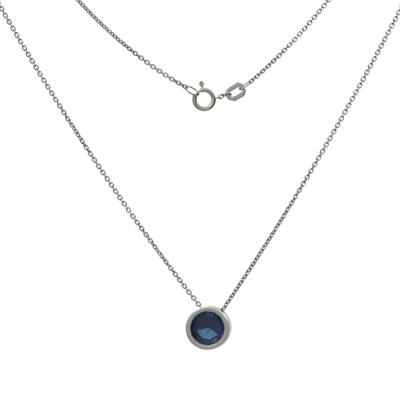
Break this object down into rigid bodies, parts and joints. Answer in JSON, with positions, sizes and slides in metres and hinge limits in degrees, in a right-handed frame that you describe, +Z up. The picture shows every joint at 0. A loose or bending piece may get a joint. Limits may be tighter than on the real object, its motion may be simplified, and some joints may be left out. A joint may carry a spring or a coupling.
{
  "type": "pendant necklace",
  "caption": "Slide pendant necklace: a round blue stone in a plain tube bezel, threaded on a fine cable chain closed by a spring-ring clasp and a flat tag link.",
  "frame": {"origin": "midway between the two places where the chain hangs over its supports", "axes": "+X right as the viewer faces the pendant, +Y away from the viewer, +Z up"},
  "size_m": [0.128, 0.0109, 0.1209],
  "materials": {
    "chain": "polished silver with darkened recesses",
    "bezel": "soft satin silver",
    "stone": "polished, faceted",
    "clasp": "polished silver, slightly warm",
    "rings": "drawn wire",
    "tag": "fine matte brushed"
  },
  "bodies": {
    "supported_chain": {"chain_over_left_support": "chain", "chain_over_right_support": "chain"},
    "front_drape_1": {"chain_front_left_1": "chain", "chain_front_right_1": "chain"},
    "front_drape_2": {"chain_front_left_2": "chain", "chain_front_right_2": "chain"},
    "front_drape_3": {"chain_front_left_3": "chain", "chain_front_right_3": "chain"},
    "front_drape_4": {"chain_front_left_4": "chain", "chain_front_right_4": "chain"},
    "pendant_drape": {"chain_through_pendant": "chain"},
    "pendant": {"pendant_bezel": "bezel", "pendant_stone": "stone"},
    "back_drape_1": {"chain_back_left_1": "chain", "chain_back_right_1": "chain"},
    "back_drape_2": {"chain_back_left_2": "chain", "chain_back_right_2": "chain"},
    "clasp_drape": {"chain_back_left_end": "chain", "chain_back_right_end": "chain"},
    "end_ring": {"end_ring": "rings"},
    "spring_ring": {"spring_ring_tube": "clasp", "spring_ring_coil": "clasp", "spring_ring_eyelet": "clasp"},
    "small_link": {"small_link": "rings"},
    "tag_ring": {"tag_ring": "rings"},
    "tag": {"tag": "tag"},
    "long_ring": {"long_ring": "rings"},
    "bolt": {"spring_ring_bolt": "clasp", "spring_ring_trigger": "clasp"}
  },
  "joints": [
    {"name": "front_fold_1", "type": "hinge", "parent": "supported_chain", "child": "front_drape_1", "pos_m": [0.00007, -0.003, -0.00614], "axis": [-1, 0.0001, 0.0004], "range_deg": [-30, 30]},
    {"name": "front_fold_2", "type": "hinge", "parent": "front_drape_1", "child": "front_drape_2", "pos_m": [0.0006, -0.00301, -0.02589], "axis": [-1, 0.0009, -0.0032], "range_deg": [-30, 30]},
    {"name": "front_fold_3", "type": "hinge", "parent": "front_drape_2", "child": "front_drape_3", "pos_m": [0.001, -0.00302, -0.04571], "axis": [-1, 0.0021, 0.0012], "range_deg": [-30, 30]},
    {"name": "front_fold_4", "type": "hinge", "parent": "front_drape_3", "child": "front_drape_4", "pos_m": [0.00167, -0.00304, -0.06619], "axis": [-1, 0.0044, -0.0009], "range_deg": [-30, 30]},
    {"name": "front_fold_5", "type": "hinge", "parent": "front_drape_4", "child": "pendant_drape", "pos_m": [0.00243, -0.00305, -0.08618], "axis": [-0.9999, 0.0106, -0.0014], "range_deg": [-30, 30]},
    {"name": "pendant_swing", "type": "hinge", "parent": "pendant_drape", "child": "pendant", "pos_m": [0.00319, -0.00307, -0.10729], "axis": [-0.9792, 0.119, 0.1642], "range_deg": [-10, 12]},
    {"name": "back_fold_1", "type": "hinge", "parent": "supported_chain", "child": "back_drape_1", "pos_m": [0.00011, 0.003, -0.00589], "axis": [-1, 0, 0.0012], "range_deg": [-25, 25]},
    {"name": "back_fold_2", "type": "hinge", "parent": "back_drape_1", "child": "back_drape_2", "pos_m": [0.00065, 0.003, -0.02421], "axis": [-1, 0, -0.0021], "range_deg": [-25, 25]},
    {"name": "back_fold_3", "type": "hinge", "parent": "back_drape_2", "child": "clasp_drape", "pos_m": [0.00143, 0.003, -0.04181], "axis": [-1, 0, 0.0003], "range_deg": [-25, 25]},
    {"name": "end_ring_swivel", "type": "hinge", "parent": "clasp_drape", "child": "end_ring", "pos_m": [-0.00098, 0.003, -0.06041], "axis": [-0.8572, 0, 0.515], "range_deg": [-8, 8]},
    {"name": "spring_ring_swivel", "type": "hinge", "parent": "clasp_drape", "child": "spring_ring", "pos_m": [0.00256, 0.003, -0.06148], "axis": [-0.9889, 0, 0.1488], "range_deg": [-15, 15]},
    {"name": "small_link_swivel", "type": "hinge", "parent": "clasp_drape", "child": "small_link", "pos_m": [0.00523, 0.003, -0.0616], "axis": [-0.8192, 0, -0.5736], "range_deg": [-20, 20]},
    {"name": "tag_ring_swivel", "type": "hinge", "parent": "clasp_drape", "child": "tag_ring", "pos_m": [0.00642, 0.003, -0.06126], "axis": [-0.991, 0, -0.134], "range_deg": [-12, 12]},
    {"name": "tag_swivel", "type": "hinge", "parent": "clasp_drape", "child": "tag", "pos_m": [0.00829, 0.003, -0.06056], "axis": [-0.866, 0, -0.5], "range_deg": [-12, 12]},
    {"name": "long_ring_swivel", "type": "hinge", "parent": "clasp_drape", "child": "long_ring", "pos_m": [0.01036, 0.003, -0.05926], "axis": [-0.8261, 0, -0.5635], "range_deg": [-12, 12]},
    {"name": "trigger_pull", "type": "hinge", "parent": "spring_ring", "child": "bolt", "pos_m": [0.00159, 0.003, -0.06224], "axis": [0, 1, 0], "range_deg": [0, 42], "stiffness_Nm_per_rad": 0.0015, "springref_deg": -22.92, "deforming": ["spring_ring_coil"]}
  ]
}
